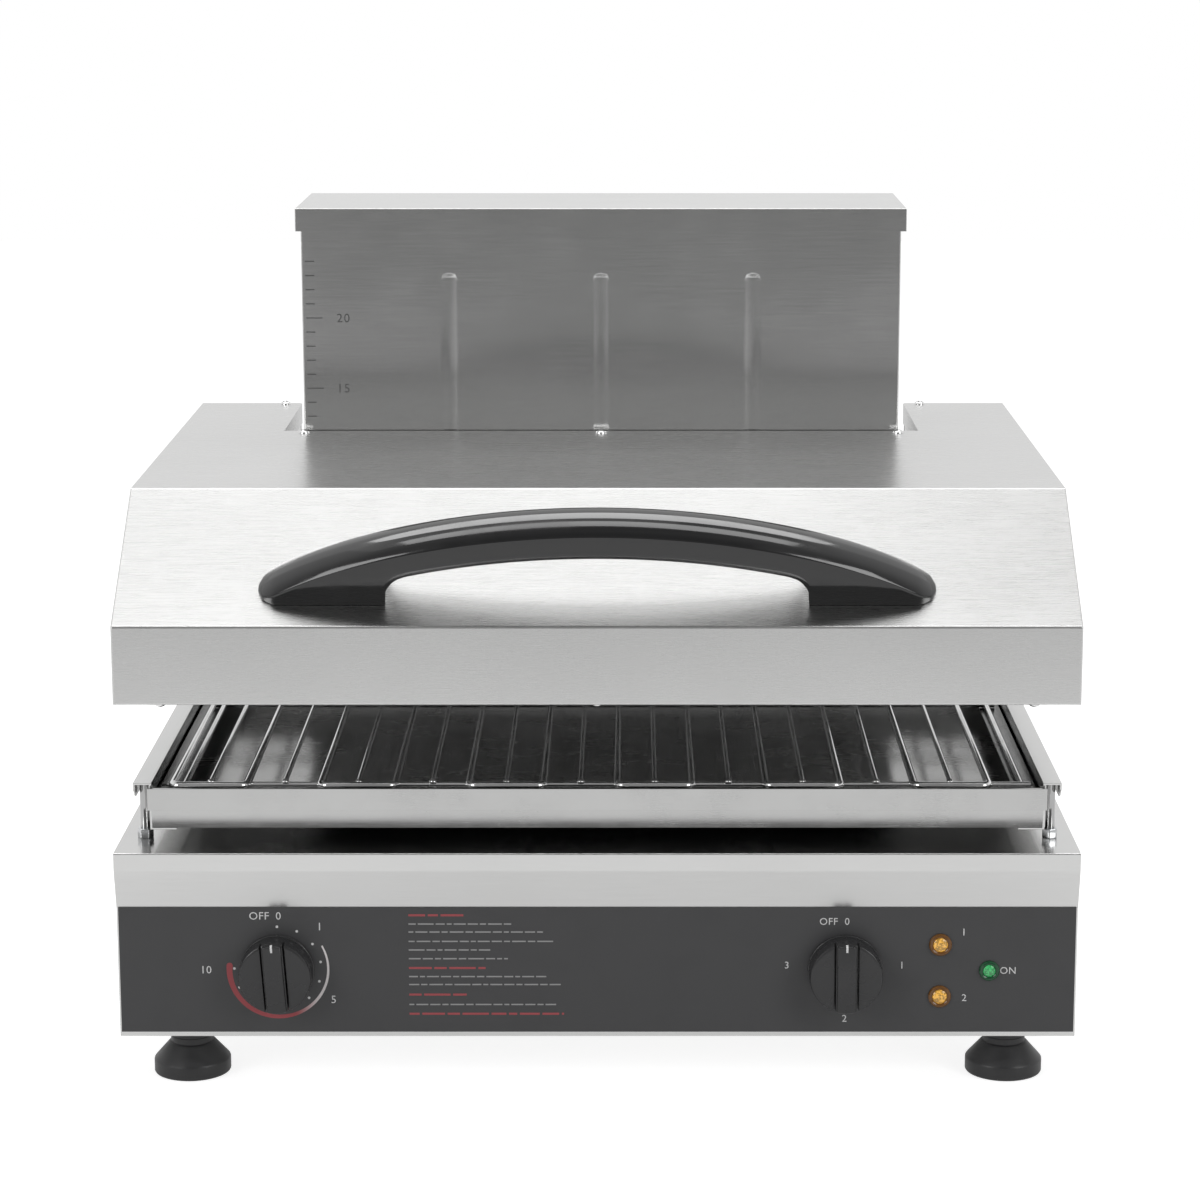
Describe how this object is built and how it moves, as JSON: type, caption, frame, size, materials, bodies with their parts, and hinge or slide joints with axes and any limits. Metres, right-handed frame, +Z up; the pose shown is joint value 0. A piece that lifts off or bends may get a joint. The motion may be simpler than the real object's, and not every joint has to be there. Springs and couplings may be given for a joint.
{
  "type": "cheese melter grill",
  "caption": "Countertop electric cheese melter: a heated hood with a bow handle slides on a rear tower over a wire rack and a pull-out drip pan.",
  "frame": {"origin": "middle of the floor area under the feet, at floor level", "axes": "+X to the right seen from the front, +Y to the back, +Z up; the hood slides along +Z and the pan pulls out along -Y"},
  "size_m": [0.6, 0.504, 0.518],
  "materials": {
    "stainless_sheet": "brushed stainless sheet",
    "bright_wire": "bright wire and rod",
    "zinc_steel": "zinc-plated steel",
    "dark_steel": "dark painted steel",
    "wire_rope": "steel rope",
    "heating_tube": "dark oxidised tube",
    "cast_weight": "rough cast iron",
    "bush_bronze": "sintered bronze",
    "pulley_nylon": "matte nylon",
    "panel_print": "dark grey printed film",
    "black_gloss": "glossy black plastic",
    "black_moulding": "matte black plastic",
    "lens_amber": "clear amber plastic",
    "lens_green": "clear green plastic",
    "switch_plastic": "moulded switch body",
    "mineral_felt": "mineral fibre felt"
  },
  "bodies": {
    "base": {"base_tray": "stainless_sheet", "base_casing": "stainless_sheet", "top_plate": "stainless_sheet", "panel_plate": "stainless_sheet", "panel_overlay": "panel_print", "lamp_lens_upper": "lens_amber", "lamp_lens_lower": "lens_amber", "lamp_lens_on": "lens_green", "lamp_bodies": "switch_plastic", "timer_body": "switch_plastic", "selector_body": "switch_plastic", "terminal_block": "switch_plastic", "cable_gland": "black_moulding", "foot_nuts": "zinc_steel", "rack_posts": "bright_wire", "post_nuts": "zinc_steel", "pan_carrier": "stainless_sheet", "tower_shell": "stainless_sheet", "tower_back": "stainless_sheet", "tower_cap": "stainless_sheet", "tower_screws": "zinc_steel", "rod_foot_bracket": "dark_steel", "rod_head_bracket": "dark_steel", "guide_rod_left": "bright_wire", "guide_rod_right": "bright_wire", "pulley_axles": "zinc_steel", "cable_wraps": "wire_rope", "weight_guides": "zinc_steel"},
    "hood": {"hood_shell": "stainless_sheet", "hood_back": "stainless_sheet", "hood_liner": "stainless_sheet", "hood_insulation": "mineral_felt", "element_left": "heating_tube", "element_right": "heating_tube", "element_brackets": "zinc_steel", "element_nuts": "zinc_steel", "heat_cutout": "switch_plastic", "hood_handle": "black_gloss", "handle_bolts": "zinc_steel", "hood_screws": "zinc_steel", "lip_screws": "zinc_steel", "carriage": "dark_steel", "carriage_bushes": "bush_bronze", "ear_bolts": "zinc_steel", "cable_front_runs": "wire_rope"},
    "weight": {"counterweight": "cast_weight", "weight_eyes": "zinc_steel", "cable_rear_runs": "wire_rope"},
    "pulley_left": {"pulley_left": "pulley_nylon"},
    "pulley_right": {"pulley_right": "pulley_nylon"},
    "timer": {"timer_knob": "black_gloss", "timer_spindle": "zinc_steel"},
    "selector": {"selector_knob": "black_gloss", "selector_spindle": "zinc_steel"},
    "pan": {"drip_pan": "stainless_sheet"},
    "rack": {"wire_rack": "bright_wire"},
    "foot_front_left": {"foot_front_left": "black_moulding"},
    "foot_front_right": {"foot_front_right": "black_moulding"},
    "foot_rear_left": {"foot_rear_left": "black_moulding"},
    "foot_rear_right": {"foot_rear_right": "black_moulding"}
  },
  "joints": [
    {"name": "hood_lift", "type": "slide", "parent": "base", "child": "hood", "axis": [0, 0, 1], "range_m": [-0.045, 0.11], "deforming": ["cable_front_runs"]},
    {"name": "weight_lift", "type": "slide", "parent": "base", "child": "weight", "axis": [0, 0, 1], "range_m": [-0.11, 0.045], "deforming": ["cable_rear_runs"]},
    {"name": "pulley_left_spin", "type": "hinge", "parent": "base", "child": "pulley_left", "pos_m": [-0.09, 0.199, 0.47], "axis": [-1, 0, 0], "range_deg": [-130, 316]},
    {"name": "pulley_right_spin", "type": "hinge", "parent": "base", "child": "pulley_right", "pos_m": [0.09, 0.199, 0.47], "axis": [-1, 0, 0], "range_deg": [-130, 316]},
    {"name": "timer_turn", "type": "hinge", "parent": "base", "child": "timer", "pos_m": [-0.2005, -0.2316, 0.0733], "axis": [0, 1, 0], "range_deg": [0, 270]},
    {"name": "selector_turn", "type": "hinge", "parent": "base", "child": "selector", "pos_m": [0.155, -0.2316, 0.0733], "axis": [0, 1, 0], "range_deg": [0, 270]},
    {"name": "pan_slide", "type": "slide", "parent": "base", "child": "pan", "axis": [0, -1, 0], "range_m": [0, 0.25]},
    {"name": "rack_lift", "type": "slide", "parent": "pan", "child": "rack", "axis": [0, 0, 1], "range_m": [0, 0.005]},
    {"name": "foot_front_left_turn", "type": "hinge", "parent": "base", "child": "foot_front_left", "pos_m": [-0.258, -0.208, 0], "axis": [0, 0, 1], "range_deg": [-180, 180]},
    {"name": "foot_front_right_turn", "type": "hinge", "parent": "base", "child": "foot_front_right", "pos_m": [0.258, -0.208, 0], "axis": [0, 0, 1], "range_deg": [-180, 180]},
    {"name": "foot_rear_left_turn", "type": "hinge", "parent": "base", "child": "foot_rear_left", "pos_m": [-0.258, 0.217, 0], "axis": [0, 0, 1], "range_deg": [-180, 180]},
    {"name": "foot_rear_right_turn", "type": "hinge", "parent": "base", "child": "foot_rear_right", "pos_m": [0.258, 0.217, 0], "axis": [0, 0, 1], "range_deg": [-180, 180]}
  ],
  "couplings": [
    {"joint": "weight_lift", "follows": "hood_lift", "ratio": -1},
    {"joint": "pulley_left_spin", "follows": "hood_lift", "rad_per_m": 50},
    {"joint": "pulley_right_spin", "follows": "hood_lift", "rad_per_m": 50}
  ]
}
